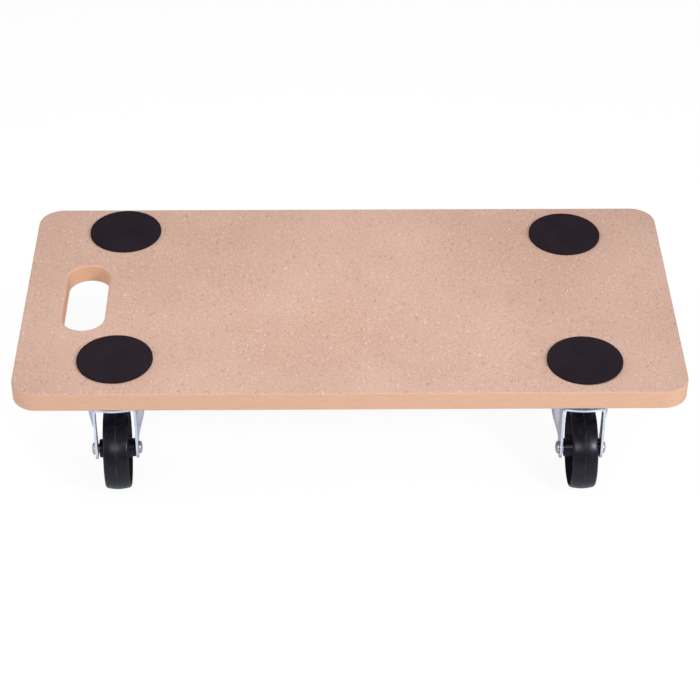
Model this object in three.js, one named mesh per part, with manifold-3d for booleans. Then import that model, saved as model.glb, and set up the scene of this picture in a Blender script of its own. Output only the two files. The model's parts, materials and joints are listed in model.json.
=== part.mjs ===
// A flat platform dolly: an MDF deck with a hand slot and four anti-slip discs,
// carried on four double-race swivel casters with plastic wheels.
//
// Millimetres. The origin is on the floor under the middle of the deck, +Z is up
// and +X runs along the deck, away from its hand slot.

import * as THREE from 'three';
import { mergeVertices } from 'three/addons/utils/BufferGeometryUtils.js';
import Module from 'manifold-3d';

const wasm = await Module();
wasm.setup();

// ---------------------------------------------------------------- driving sizes

// Deck
const DECK_LENGTH = 580;
const DECK_WIDTH = 280;
const DECK_THICKNESS = 18;
const DECK_CORNER_RADIUS = 22;
const DECK_EDGE_EASE = 1;

// Hand slot, a stadium across the deck at its -X end
const SLOT_LENGTH = 98;
const SLOT_WIDTH = 38;
const SLOT_END_WEB = 35;

// Anti-slip discs, with the margin from each disc to the deck's edges. Each was
// stuck down by hand, a few millimetres off its square.
const PAD_DIAMETER = 66;
const PAD_THICKNESS = 2.5;
const PAD_MARGIN_X = 53;
const PAD_MARGIN_Y = 10;
const PADS = [
  { name: 'pad_front_left', side: [-1, -1], slip: [0.5, 4.5] },
  { name: 'pad_front_right', side: [1, -1], slip: [-1, 0] },
  { name: 'pad_rear_left', side: [-1, 1], slip: [-3.5, 5] },
  { name: 'pad_rear_right', side: [1, 1], slip: [-2, -2] },
];

// Casters, screwed on by eye, with the margin from each plate to the deck's edges.
// heading is where the wheel trails to from the swivel axis, in degrees round +Z
// from -Y, and play is how far along its axle the wheel stands.
const CASTER_MARGIN_X = 55;
const CASTER_MARGIN_Y = 14;
const CASTERS = [
  { name: 'front_left', side: [-1, -1], slip: [-1, 1], heading: 2.5, play: 0.5 },
  { name: 'front_right', side: [1, -1], slip: [-2, -1], heading: 0, play: 0.7 },
  { name: 'rear_left', side: [-1, 1], slip: [2, 1], heading: 180, play: 0.7 },
  { name: 'rear_right', side: [1, 1], slip: [1, -1], heading: 182.5, play: 0.5 },
];
const TRAIL = 25;
const SHEET = 2;
const RUNNING_GAP = 0.3;

// Wheel
const WHEEL_DIAMETER = 73;
const TREAD_WIDTH = 22;
const TREAD_CROWN = 0.5;
const TREAD_SHOULDER = 1.6;
const RIM_THICKNESS = 3.2;
const WEB_THICKNESS = 5;
const HUB_DIAMETER = 16;
const HUB_END_GAP = 1;

// Axle: a rivet inside a steel sleeve
const AXLE_DIAMETER = 6;
const SLEEVE_WALL = 0.9;
const RIVET_HEAD_DIAMETER = 11;
const RIVET_HEAD_HEIGHT = 3;

// Fork
const FORK_INNER_WIDTH = 33.5;
const FORK_LOBE_RADIUS = 9.2;
const FORK_HEEL_BACK = 14.7;
const FORK_HEEL_CORNER = 5.5;
const FORK_HEEL_RISE = 10.1;
const FLARE_BELOW_BRIDGE = 16;
const CROWN_RADIUS = 25;
const BRIDGE_REACH = 31;
const BRIDGE_BOW = 1.8;
const BRIDGE_OVER_WHEEL = 9;

// Swivel head, from the bridge upwards and downwards
const RACE_LIFT = 1;
const LIP_TO_PLATE = 1.6;
const DISH_DEPTH = 1.4;
const UPPER_BALL_DIAMETER = 6;
const UPPER_BALL_COUNT = 14;
const LOWER_BALL_DIAMETER = 4.8;
const LOWER_BALL_COUNT = 12;
const BALL_JOIN = 0.1;
const KINGPIN_DIAMETER = 10;
const KINGPIN_HEAD_DIAMETER = 15;
const KINGPIN_TOP_HEAD_HEIGHT = 0.9;
const KINGPIN_LOWER_HEAD_DIAMETER = 13.6;
const KINGPIN_LOWER_HEAD_HEIGHT = 1.8;
const CUP_SHEET = 1.6;
const CUP_RIM_OVER_BALLS = 1.2;

// Mounting plate and its screws
const PLATE_SIZE = 62;
const PLATE_CORNER_RADIUS = 6;
const SCREW_INSET = 8;
const SCREW_DIAMETER = 4.2;
const SCREW_LENGTH = 15;
const SCREW_POINT = 3;
const SCREW_HEAD_DIAMETER = 8.6;
const SCREW_HEAD_RIM = 0.7;
const SCREW_HEAD_HEIGHT = 2.4;
const PLATE_HOLE_GAP = 0.6;

// Facets round a full turn, and steps along shorter stretches
const ROUND_LARGE = 32;
const ROUND_MEDIUM = 20;
const ROUND_SMALL = 12;
const ROUND_TINY = 6;
const BALL_FACETS = [5, 3];
const CORNER_FACETS = 6;
const CROWN_FACETS = 8;
const FLARE_STEPS = 6;
const DOME_STEPS = 3;

// How far cutters run past what they cut, and how close vertices merge
const CUTTER_OVERRUN = 5;
const MERGE_DISTANCE = 1e-3;

// ------------------------------------------------------- sizes that follow them

const WHEEL_RADIUS = WHEEL_DIAMETER / 2;
const AXLE_RADIUS = AXLE_DIAMETER / 2;
const SLEEVE_BORE_RADIUS = AXLE_RADIUS + RUNNING_GAP;
const SLEEVE_RADIUS = SLEEVE_BORE_RADIUS + SLEEVE_WALL;
const HUB_BORE_RADIUS = SLEEVE_RADIUS + RUNNING_GAP;
const HUB_HALF_LENGTH = FORK_INNER_WIDTH / 2 - HUB_END_GAP;
const FORK_INNER_HALF = FORK_INNER_WIDTH / 2;
const FORK_OUTER_HALF = FORK_INNER_HALF + SHEET;
const KINGPIN_RADIUS = KINGPIN_DIAMETER / 2;
const SCREW_RADIUS = SCREW_DIAMETER / 2;
const PAD_INSET_X = PAD_MARGIN_X + PAD_DIAMETER / 2;
const PAD_INSET_Y = PAD_MARGIN_Y + PAD_DIAMETER / 2;
const CASTER_INSET_X = CASTER_MARGIN_X + PLATE_SIZE / 2;
const CASTER_INSET_Y = CASTER_MARGIN_Y + PLATE_SIZE / 2;

// Heights above the floor, from the wheel to the deck
const BRIDGE_BOTTOM = WHEEL_DIAMETER + BRIDGE_OVER_WHEEL;
const BRIDGE_TOP = BRIDGE_BOTTOM + SHEET;
const RACE_TOP = BRIDGE_TOP + RACE_LIFT;
const RACE_BOTTOM = BRIDGE_BOTTOM + RACE_LIFT;
const UPPER_BALL_Z = RACE_TOP + RUNNING_GAP + UPPER_BALL_DIAMETER / 2;
const PLATE_DISH_BOTTOM = UPPER_BALL_Z + UPPER_BALL_DIAMETER / 2 + RUNNING_GAP;
const PLATE_DISH_TOP = PLATE_DISH_BOTTOM + SHEET;
const LIP_TOP = PLATE_DISH_BOTTOM - LIP_TO_PLATE;
const PLATE_BOTTOM = PLATE_DISH_BOTTOM + DISH_DEPTH;
const DECK_BOTTOM = PLATE_BOTTOM + SHEET;
const DECK_TOP = DECK_BOTTOM + DECK_THICKNESS;
const LOWER_BALL_Z = RACE_BOTTOM - RUNNING_GAP - LOWER_BALL_DIAMETER / 2;
const CUP_TOP = LOWER_BALL_Z - LOWER_BALL_DIAMETER / 2 - RUNNING_GAP;
const CUP_BOTTOM = CUP_TOP - CUP_SHEET;

// Ball circles: neighbours meet at their poles and join there by BALL_JOIN
const UPPER_BALL_CIRCLE = ballCircle(UPPER_BALL_DIAMETER, UPPER_BALL_COUNT);
const LOWER_BALL_CIRCLE = ballCircle(LOWER_BALL_DIAMETER, LOWER_BALL_COUNT);
const LIP_INNER_RADIUS = UPPER_BALL_CIRCLE + UPPER_BALL_DIAMETER / 2 + RUNNING_GAP;
const LIP_OUTER_RADIUS = LIP_INNER_RADIUS + SHEET;
const DISH_RADIUS = LIP_OUTER_RADIUS + SHEET;
const CUP_INNER_RADIUS = LOWER_BALL_CIRCLE + LOWER_BALL_DIAMETER / 2 + RUNNING_GAP;
const CUP_OUTER_RADIUS = CUP_INNER_RADIUS + CUP_SHEET;

function ballCircle(diameter, count) {
  const half = Math.PI / count;
  return (diameter / 2 * Math.cos(half) - BALL_JOIN) / Math.sin(half);
}

// ---------------------------------------------------------------- solid helpers

function toSolid(geometry) {
  const bare = geometry.clone();
  bare.deleteAttribute('normal');
  bare.deleteAttribute('uv');
  const merged = mergeVertices(bare, MERGE_DISTANCE);
  return new wasm.Manifold(new wasm.Mesh({
    numProp: 3,
    vertProperties: new Float32Array(merged.attributes.position.array),
    triVerts: new Uint32Array(merged.index.array),
  }));
}

function toGeometry(solid) {
  const mesh = solid.getMesh();
  const geometry = new THREE.BufferGeometry();
  const corners = new Float32Array(mesh.vertProperties);
  geometry.setAttribute('position', new THREE.BufferAttribute(corners, 3));
  geometry.setIndex(new THREE.BufferAttribute(new Uint32Array(mesh.triVerts), 1));
  const flat = geometry.toNonIndexed();
  flat.computeVertexNormals();
  return flat;
}

// A solid of revolution about +Z. The profile is [radius, z] points, anticlockwise
// with radius to the right and z up.
function turned(profile, facets) {
  const points = profile.map(([radius, z]) => new THREE.Vector2(radius, z));
  return new THREE.LatheGeometry(points, facets).rotateX(Math.PI / 2);
}

function turnedSolid(profile, facets) {
  return toSolid(turned(profile, facets));
}

// A quarter ellipse from a head's rim to its middle, as [radius, height] points
function dome(radius, height) {
  return Array.from({ length: DOME_STEPS + 1 }, (_, index) => {
    const turn = index / DOME_STEPS * Math.PI / 2;
    return [index === DOME_STEPS ? 0 : radius * Math.cos(turn), height * Math.sin(turn)];
  });
}

// A plain disc or drum about +Z at (x, y)
function drum(radius, bottom, top, facets, x = 0, y = 0) {
  const geometry = new THREE.CylinderGeometry(radius, radius, top - bottom, facets);
  geometry.rotateX(Math.PI / 2).translate(x, y, (top + bottom) / 2);
  return toSolid(geometry);
}

// An outline in X and Y, extruded from bottom to top
function extruded(shape, bottom, top, options = {}) {
  const geometry = new THREE.ExtrudeGeometry(shape, {
    depth: top - bottom,
    bevelEnabled: false,
    curveSegments: CORNER_FACETS,
    ...options,
  });
  return geometry.translate(0, 0, bottom);
}

function roundedRectangle(width, height, radius) {
  const x = width / 2;
  const y = height / 2;
  const shape = new THREE.Shape();
  shape.moveTo(-x + radius, -y);
  shape.lineTo(x - radius, -y);
  shape.absarc(x - radius, -y + radius, radius, -Math.PI / 2, 0);
  shape.lineTo(x, y - radius);
  shape.absarc(x - radius, y - radius, radius, 0, Math.PI / 2);
  shape.lineTo(-x + radius, y);
  shape.absarc(-x + radius, y - radius, radius, Math.PI / 2, Math.PI);
  shape.lineTo(-x, -y + radius);
  shape.absarc(-x + radius, -y + radius, radius, Math.PI, Math.PI * 1.5);
  return shape;
}

// Where a pad or caster sits: square to the deck's corner, and its own slip from there
function placeOn({ side, slip }, insetX, insetY) {
  return [
    side[0] * (DECK_LENGTH / 2 - insetX) + slip[0],
    side[1] * (DECK_WIDTH / 2 - insetY) + slip[1],
  ];
}

function screwPlaces() {
  const half = PLATE_SIZE / 2 - SCREW_INSET;
  return [[-half, -half], [half, -half], [half, half], [-half, half]];
}

// -------------------------------------------------------------------- materials

const MATERIALS = {
  mdf: () => new THREE.MeshStandardMaterial({ color: 0xcfa896, roughness: 0.75, metalness: 0 }),
  padRubber: () => new THREE.MeshStandardMaterial({ color: 0x2b242a, roughness: 0.9, metalness: 0 }),
  zinc: () => new THREE.MeshStandardMaterial({ color: 0xd8dde3, roughness: 0.28, metalness: 1 }),
  bright: () => new THREE.MeshStandardMaterial({ color: 0xb9bbbd, roughness: 0.2, metalness: 1 }),
  wheelPlastic: () => new THREE.MeshStandardMaterial({ color: 0x1b181d, roughness: 0.35, metalness: 0 }),
};

function piece(name, geometry, material) {
  const mesh = new THREE.Mesh(geometry, material());
  mesh.name = name;
  return mesh;
}

// ---------------------------------------------------------------- deck and pads

function slotOutline() {
  const radius = SLOT_WIDTH / 2;
  const straight = SLOT_LENGTH / 2 - radius;
  const centreX = -DECK_LENGTH / 2 + SLOT_END_WEB + radius;
  const path = new THREE.Path();
  path.moveTo(centreX + radius, -straight);
  path.absarc(centreX, straight, radius, 0, Math.PI);
  path.absarc(centreX, -straight, radius, Math.PI, Math.PI * 2);
  return path;
}

function deck() {
  const outline = roundedRectangle(DECK_LENGTH, DECK_WIDTH, DECK_CORNER_RADIUS);
  outline.holes.push(slotOutline());
  const ease = DECK_EDGE_EASE;
  const board = extruded(outline, DECK_BOTTOM + ease, DECK_TOP - ease, {
    bevelEnabled: true,
    bevelThickness: ease,
    bevelSize: ease,
    bevelOffset: -ease,
    bevelSegments: 1,
  });
  const pilots = CASTERS.flatMap((entry) => {
    const [x, y] = placeOn(entry, CASTER_INSET_X, CASTER_INSET_Y);
    return screwPlaces().map(([dx, dy]) => drum(
      SCREW_RADIUS + RUNNING_GAP,
      DECK_BOTTOM - CUTTER_OVERRUN,
      PLATE_BOTTOM + SCREW_LENGTH + RUNNING_GAP,
      ROUND_TINY,
      x + dx,
      y + dy,
    ));
  });
  const drilled = pilots.reduce((solid, pilot) => solid.subtract(pilot), toSolid(board));
  return piece('deck', toGeometry(drilled), MATERIALS.mdf);
}

function pad(entry) {
  const radius = PAD_DIAMETER / 2;
  const geometry = new THREE.CylinderGeometry(radius, radius, PAD_THICKNESS, ROUND_LARGE);
  const mesh = piece(entry.name, geometry.rotateX(Math.PI / 2), MATERIALS.padRubber);
  const [x, y] = placeOn(entry, PAD_INSET_X, PAD_INSET_Y);
  mesh.position.set(x, y, DECK_TOP + PAD_THICKNESS / 2);
  return mesh;
}

// ------------------------------------------------- parts that stay with the deck

// The plate's middle is pressed down: its underside runs on the upper balls.
function mountingPlate(name) {
  const outline = roundedRectangle(PLATE_SIZE, PLATE_SIZE, PLATE_CORNER_RADIUS);
  const flat = toSolid(extruded(outline, PLATE_BOTTOM, DECK_BOTTOM));
  const dish = drum(DISH_RADIUS, PLATE_DISH_BOTTOM, PLATE_BOTTOM + SHEET / 2, ROUND_MEDIUM);
  const over = DECK_BOTTOM + CUTTER_OVERRUN;
  const under = PLATE_DISH_BOTTOM - CUTTER_OVERRUN;
  const recess = drum(DISH_RADIUS - SHEET / 2, PLATE_DISH_TOP, over, ROUND_MEDIUM);
  const pinHole = drum(KINGPIN_RADIUS + RUNNING_GAP, under, over, ROUND_SMALL);
  const screwHoles = screwPlaces().map(([x, y]) => (
    drum(SCREW_RADIUS + PLATE_HOLE_GAP, under, over, ROUND_TINY, x, y)
  ));
  const plate = [recess, pinHole, ...screwHoles].reduce(
    (solid, cut) => solid.subtract(cut),
    flat.add(dish),
  );
  return piece(name, toGeometry(plate), MATERIALS.zinc);
}

function screw(name, x, y) {
  const head = SCREW_HEAD_DIAMETER / 2;
  const underHead = PLATE_BOTTOM - RUNNING_GAP;
  const rim = underHead - SCREW_HEAD_RIM;
  const domed = dome(head, SCREW_HEAD_HEIGHT - SCREW_HEAD_RIM);
  const profile = [
    ...domed.map(([radius, height]) => [radius, rim - height]).reverse(),
    [head, underHead],
    [SCREW_RADIUS, underHead],
    [SCREW_RADIUS, PLATE_BOTTOM + SCREW_LENGTH - SCREW_POINT],
    [0, PLATE_BOTTOM + SCREW_LENGTH],
  ];
  const mesh = piece(name, turned(profile, ROUND_TINY), MATERIALS.bright);
  mesh.position.set(x, y, 0);
  return mesh;
}

// The kingpin rivets plate, fork and race cup together.
function kingpin(name) {
  const topHead = KINGPIN_HEAD_DIAMETER / 2;
  const underTopHead = PLATE_DISH_TOP + RUNNING_GAP;
  const headTop = underTopHead + KINGPIN_TOP_HEAD_HEIGHT;
  const underside = CUP_BOTTOM - RUNNING_GAP;
  const domed = dome(KINGPIN_LOWER_HEAD_DIAMETER / 2, KINGPIN_LOWER_HEAD_HEIGHT);
  const profile = [
    ...domed.map(([radius, height]) => [radius, underside - height]).reverse(),
    [KINGPIN_RADIUS, underside],
    [KINGPIN_RADIUS, underTopHead],
    [topHead, underTopHead],
    [topHead, headTop],
    [0, headTop],
  ];
  return piece(name, turned(profile, ROUND_SMALL), MATERIALS.bright);
}

// The cup under the crown holds the lower balls up.
function raceCup(name) {
  const bore = KINGPIN_RADIUS + RUNNING_GAP;
  const rim = LOWER_BALL_Z + CUP_RIM_OVER_BALLS;
  const profile = [
    [bore, CUP_BOTTOM],
    [CUP_OUTER_RADIUS, CUP_BOTTOM],
    [CUP_OUTER_RADIUS, rim],
    [CUP_INNER_RADIUS, rim],
    [CUP_INNER_RADIUS, CUP_TOP],
    [bore, CUP_TOP],
    [bore, CUP_BOTTOM],
  ];
  return piece(name, turned(profile, ROUND_MEDIUM), MATERIALS.zinc);
}

// ------------------------------------------------------- parts that swivel round

// Steel balls side by side on their circle, joined where they touch.
function ballRing(name, diameter, count, circle, z) {
  const balls = Array.from({ length: count }, (_, index) => {
    const ball = new THREE.SphereGeometry(diameter / 2, ...BALL_FACETS);
    ball.translate(circle, 0, z).rotateZ(index / count * Math.PI * 2);
    return toSolid(ball);
  });
  const ring = balls.reduce((solid, ball) => solid.add(ball));
  return piece(name, toGeometry(ring), MATERIALS.bright);
}

// The fork in plan at the crown: a circle about the swivel axis that runs forward
// into two straight legs. inwards is how far the outline lies inside the outside.
function forkPlan(inwards, front) {
  const half = FORK_OUTER_HALF - inwards;
  const radius = CROWN_RADIUS - inwards;
  const start = -Math.acos(half / radius);
  const shape = new THREE.Shape();
  shape.moveTo(-half, -front);
  shape.quadraticCurveTo(0, -front - 2 * BRIDGE_BOW, half, -front);
  shape.absarc(0, 0, radius, start, Math.PI - start);
  return shape;
}

// The leg seen from the side, in Y and Z: a lobe round the axle that widens
// backwards and upwards to the back of the crown.
function legProfile() {
  const axleY = -TRAIL;
  const axleZ = WHEEL_RADIUS;
  const lobe = FORK_LOBE_RADIUS;
  const above = BRIDGE_TOP + SHEET;
  const rearY = CROWN_RADIUS + SHEET;
  const shape = new THREE.Shape();
  shape.moveTo(-BRIDGE_REACH - BRIDGE_BOW, above);
  shape.lineTo(-BRIDGE_REACH, BRIDGE_BOTTOM);
  shape.lineTo(axleY - lobe, axleZ + lobe / 3);
  shape.absarc(axleY, axleZ, lobe, Math.PI, Math.PI * 2);
  shape.quadraticCurveTo(
    axleY + lobe,
    axleZ + FORK_HEEL_CORNER,
    axleY + FORK_HEEL_BACK,
    axleZ + FORK_HEEL_RISE,
  );
  shape.lineTo(rearY, BRIDGE_BOTTOM - SHEET);
  shape.lineTo(rearY, above);
  return shape;
}

// The legs are flat round the axle and open out to the crown's circle above it.
function flare(geometry, straightHalf) {
  const low = WHEEL_RADIUS - FORK_LOBE_RADIUS;
  const high = BRIDGE_BOTTOM - FLARE_BELOW_BRIDGE;
  const position = geometry.attributes.position;
  for (let index = 0; index < position.count; index += 1) {
    const x = position.getX(index);
    const opened = THREE.MathUtils.smoothstep(position.getZ(index), low, high);
    const beyond = Math.max(Math.abs(x) - straightHalf, 0);
    position.setX(index, x - Math.sign(x) * beyond * (1 - opened));
  }
  return geometry;
}

function legWall(inwards, front, bottom) {
  const wall = extruded(forkPlan(inwards, front), bottom, BRIDGE_TOP - inwards, {
    steps: FLARE_STEPS,
    curveSegments: CROWN_FACETS,
  });
  return toSolid(flare(wall, FORK_OUTER_HALF - inwards));
}

// The side profile as a solid slab across the whole fork
function sideSlab() {
  const reach = CROWN_RADIUS + CUTTER_OVERRUN;
  const slab = new THREE.ExtrudeGeometry(legProfile(), {
    depth: 2 * reach,
    bevelEnabled: false,
    curveSegments: CORNER_FACETS,
  });
  // Turns the profile's X and Y into Y and Z, with its depth along X
  return toSolid(slab.rotateX(Math.PI / 2).rotateZ(Math.PI / 2).translate(-reach, 0, 0));
}

// The pressed ring round the kingpin: a raised floor between the two sets of balls,
// and a lip round the upper ones
function swivelRace() {
  const bore = KINGPIN_RADIUS + 2 * RUNNING_GAP;
  return turnedSolid([
    [bore, RACE_BOTTOM],
    [LIP_INNER_RADIUS, RACE_BOTTOM],
    [LIP_OUTER_RADIUS, BRIDGE_BOTTOM],
    [LIP_OUTER_RADIUS, LIP_TOP],
    [LIP_INNER_RADIUS, LIP_TOP],
    [LIP_INNER_RADIUS, RACE_TOP],
    [bore, RACE_TOP],
    [bore, RACE_BOTTOM],
  ], ROUND_MEDIUM);
}

function axleHole() {
  const radius = AXLE_RADIUS + RUNNING_GAP;
  const length = 2 * (FORK_OUTER_HALF + CUTTER_OVERRUN);
  const hole = new THREE.CylinderGeometry(radius, radius, length, ROUND_SMALL);
  return toSolid(hole.rotateZ(Math.PI / 2).translate(0, -TRAIL, WHEEL_RADIUS));
}

function fork(name) {
  const front = BRIDGE_REACH + FORK_LOBE_RADIUS;
  const bottom = WHEEL_RADIUS - FORK_LOBE_RADIUS - SHEET;
  const outside = legWall(0, front, bottom);
  const inside = legWall(SHEET, front + SHEET, bottom - SHEET);
  const legs = outside.subtract(inside).intersect(sideSlab());
  const bridge = toSolid(extruded(forkPlan(0, BRIDGE_REACH), BRIDGE_BOTTOM, BRIDGE_TOP, {
    curveSegments: CROWN_FACETS,
  }));
  const opening = drum(
    LIP_OUTER_RADIUS - SHEET / 2,
    BRIDGE_BOTTOM - CUTTER_OVERRUN,
    BRIDGE_TOP + CUTTER_OVERRUN,
    ROUND_MEDIUM,
  );
  const solid = legs.add(bridge).subtract(opening).add(swivelRace()).subtract(axleHole());
  return piece(name, toGeometry(solid), MATERIALS.zinc);
}

// Turns a profile about the axle, which lies along X, with a flat facet lowest
function turnedOnAxle(profile, facets) {
  const geometry = turned(profile, facets);
  return geometry.rotateY(Math.PI / 2).rotateX(Math.PI / facets);
}

function axleRivet(name) {
  const shoulder = FORK_OUTER_HALF + RUNNING_GAP;
  const head = dome(RIVET_HEAD_DIAMETER / 2, RIVET_HEAD_HEIGHT);
  const profile = [
    ...head.map(([radius, height]) => [radius, -shoulder - height]).reverse(),
    [AXLE_RADIUS, -shoulder],
    [AXLE_RADIUS, shoulder],
    ...head.map(([radius, height]) => [radius, shoulder + height]),
  ];
  return piece(name, turnedOnAxle(profile, ROUND_SMALL), MATERIALS.bright);
}

function axleSleeve(name) {
  const half = FORK_INNER_HALF - RUNNING_GAP;
  const profile = [
    [SLEEVE_BORE_RADIUS, -half],
    [SLEEVE_RADIUS, -half],
    [SLEEVE_RADIUS, half],
    [SLEEVE_BORE_RADIUS, half],
    [SLEEVE_BORE_RADIUS, -half],
  ];
  return piece(name, turnedOnAxle(profile, ROUND_SMALL), MATERIALS.bright);
}

// One moulding: crowned tread, thin rims, a dished web and a long hub. Its facets
// lie outside its true circle, so that the flat at the bottom stands on the floor.
function wheel(name) {
  const halfTread = TREAD_WIDTH / 2;
  const treadRadius = WHEEL_RADIUS / Math.cos(Math.PI / ROUND_LARGE);
  const edgeRadius = treadRadius - TREAD_CROWN;
  const rimInner = WHEEL_RADIUS - RIM_THICKNESS;
  const halfWeb = WEB_THICKNESS / 2;
  const hub = HUB_DIAMETER / 2;
  const outwards = [
    [HUB_BORE_RADIUS, HUB_HALF_LENGTH],
    [hub, HUB_HALF_LENGTH],
    [hub, halfWeb],
    [rimInner, halfWeb],
    [rimInner, halfTread],
    [edgeRadius - TREAD_SHOULDER, halfTread],
    [edgeRadius, halfTread - TREAD_SHOULDER],
  ];
  const profile = [
    ...outwards.map(([radius, along]) => [radius, -along]),
    [treadRadius, 0],
    ...outwards.slice().reverse(),
    [HUB_BORE_RADIUS, -HUB_HALF_LENGTH],
  ];
  return piece(name, turnedOnAxle(profile, ROUND_LARGE), MATERIALS.wheelPlastic);
}

// --------------------------------------------------------------------- assembly

function caster(entry) {
  const { name, heading, play } = entry;
  const [x, y] = placeOn(entry, CASTER_INSET_X, CASTER_INSET_Y);
  const group = new THREE.Group();
  group.position.set(x, y, 0);
  group.add(mountingPlate(`${name}_mounting_plate`));
  group.add(kingpin(`${name}_kingpin`));
  group.add(raceCup(`${name}_race_cup`));
  screwPlaces().forEach(([dx, dy], index) => {
    group.add(screw(`${name}_screw_${index + 1}`, dx, dy));
  });

  const swivel = new THREE.Group();
  swivel.rotation.z = THREE.MathUtils.degToRad(heading);
  swivel.add(fork(`${name}_fork`));
  swivel.add(ballRing(
    `${name}_upper_balls`,
    UPPER_BALL_DIAMETER,
    UPPER_BALL_COUNT,
    UPPER_BALL_CIRCLE,
    UPPER_BALL_Z,
  ));
  swivel.add(ballRing(
    `${name}_lower_balls`,
    LOWER_BALL_DIAMETER,
    LOWER_BALL_COUNT,
    LOWER_BALL_CIRCLE,
    LOWER_BALL_Z,
  ));

  const axle = new THREE.Group();
  axle.position.set(0, -TRAIL, WHEEL_RADIUS);
  axle.add(axleRivet(`${name}_axle_rivet`));
  axle.add(axleSleeve(`${name}_axle_sleeve`));
  const rollingWheel = wheel(`${name}_wheel`);
  rollingWheel.position.x = play;
  axle.add(rollingWheel);
  swivel.add(axle);
  group.add(swivel);
  return group;
}

const dolly = new THREE.Group();
dolly.add(deck());
PADS.forEach((entry) => dolly.add(pad(entry)));
CASTERS.forEach((entry) => dolly.add(caster(entry)));

export default dolly;
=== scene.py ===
# A flat platform dolly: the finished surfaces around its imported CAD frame. Metres.
#
# The pieces of a caster are made once about its swivel axis, trailing towards -Y, and
# the joints of the frame place each copy.

import json
from math import acos, asin, atan2, cos, hypot, pi, radians, sin, sqrt, tan

import bmesh
import bpy
from mathutils import Matrix, Vector
from mathutils.geometry import tessellate_polygon


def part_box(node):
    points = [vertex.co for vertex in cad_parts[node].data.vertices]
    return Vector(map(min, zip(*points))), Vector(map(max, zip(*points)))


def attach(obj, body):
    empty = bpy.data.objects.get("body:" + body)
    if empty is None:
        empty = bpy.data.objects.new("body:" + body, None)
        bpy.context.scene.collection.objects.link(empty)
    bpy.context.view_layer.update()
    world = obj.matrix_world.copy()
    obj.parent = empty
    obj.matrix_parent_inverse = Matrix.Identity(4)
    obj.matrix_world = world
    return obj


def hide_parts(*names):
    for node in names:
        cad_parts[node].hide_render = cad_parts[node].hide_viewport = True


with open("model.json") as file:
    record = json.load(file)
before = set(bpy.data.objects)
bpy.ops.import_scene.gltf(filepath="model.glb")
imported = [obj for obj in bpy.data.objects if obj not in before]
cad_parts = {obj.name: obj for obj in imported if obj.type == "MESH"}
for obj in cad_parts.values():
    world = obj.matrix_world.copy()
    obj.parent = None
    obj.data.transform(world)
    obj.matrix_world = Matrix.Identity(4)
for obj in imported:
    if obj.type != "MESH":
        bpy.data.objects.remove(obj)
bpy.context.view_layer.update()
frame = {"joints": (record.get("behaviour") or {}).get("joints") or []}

# ------------------------------------------------------------------------- sizes

# Deck and its slot, whose eased edge is wider than it is high by the share
DECK_CORNER_RADIUS = 0.022
DECK_EDGE_EASE = 0.0012
SLOT_LENGTH = 0.098
SLOT_WIDTH = 0.038
SLOT_END_WEB = 0.035
SLOT_EASE_SHARE = 2.0

# Anti-slip discs, lifted a hair's breadth off the deck
PAD_EDGE = 0.0007
PAD_LIFT = 0.00002

# Caster: its trail behind the swivel axis, its sheet, the gap between parts that run
# or turn on each other, and how far cut and turned edges are rounded
TRAIL = 0.025
SHEET = 0.002
GAP = 0.0003
SHEET_EDGE = 0.0003
FINE_EDGE = 0.0002

# Wheel
WHEEL_RADIUS = 0.0365
TREAD_HALF = 0.011
TREAD_CROWN = 0.0010
SHOULDER = 0.0024
RIM_THICKNESS = 0.0032
RIM_EDGE = 0.0006
RIM_DRAFT = 0.0006
WEB_HALF = 0.0025
WEB_FILLET = 0.0018
HUB_RADIUS = 0.008
HUB_DRAFT = 0.0008
HUB_HALF = 0.01575
HUB_EDGE = 0.0007
HUB_BORE = 0.0045
HUB_BORE_EDGE = 0.0004

# The raised parting line round the tread, and the mesh attribute that marks it
PARTING_LINE = 0.00018
PARTING_HALF = 0.0004
PARTING_TOP_EDGE = 0.0001
SCRAPED = "scraped"

# Axle
SLEEVE_BORE = 0.0033
SLEEVE_RADIUS = 0.0042
AXLE_RADIUS = 0.003
RIVET_HEAD_RADIUS = 0.0055
RIVET_HEAD_HEIGHT = 0.003
RIVET_RIM = 0.0006

# Fork
FORK_HALF = 0.01875
FORK_EDGE = 0.0007
LOBE_RADIUS = 0.0092
HEEL_BACK = 0.0147
HEEL_CORNER = 0.0055
HEEL_RISE = 0.0101
CROWN_RADIUS = 0.025
CROWN_FILLET = 0.012
BRIDGE_REACH = 0.031
BRIDGE_BOW = 0.0018
BRIDGE_TOP = 0.084
BRIDGE_HOLE = 0.0172
BEND_RADIUS = 0.004
FLARE_LOW = 0.0273
FLARE_HIGH = 0.066
REAR_SLOPE = 0.895

# Race ring on the crown, with a foot that is sunk in the bridge
RACE_BORE = 0.0056
RACE_FLOOR = 0.085
RACE_CORNER = 0.0014
RACE_LIP_TOP = 0.090
RACE_LIP_RADIUS = 0.018
RACE_LIP_EDGE = 0.0007
RACE_ROOT = 0.0012
RACE_STEP = 0.0006
RACE_STEP_CORNER = 0.0008
FOOT_LOW_REACH = 0.0012
FOOT_HIGH_REACH = 0.0015
FOOT_SINK = 0.0001

# Balls, drawn by this share of their size so that neighbours don't touch
UPPER_BALLS = {"count": 14, "radius": 0.003, "circle": 0.01269, "z": 0.0883}
LOWER_BALLS = {"count": 12, "radius": 0.0024, "circle": 0.00857, "z": 0.0803}
BALL_SHARE = 0.99

# Kingpin and race cup
PIN_RADIUS = 0.005
PIN_TOP_HEAD = 0.0075
PIN_TOP_HEIGHT = 0.0009
PIN_TOP_BEVEL = 0.0003
PIN_LOWER_HEAD = 0.0068
PIN_LOWER_HEIGHT = 0.0018
CUP_BOTTOM = 0.076
CUP_SHEET = 0.0016
CUP_RADIUS = 0.01287
CUP_BEND = 0.0022
CUP_INNER_BEND = 0.0009
CUP_RIM = 0.0815
CUP_RIM_EDGE = 0.0004

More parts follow.
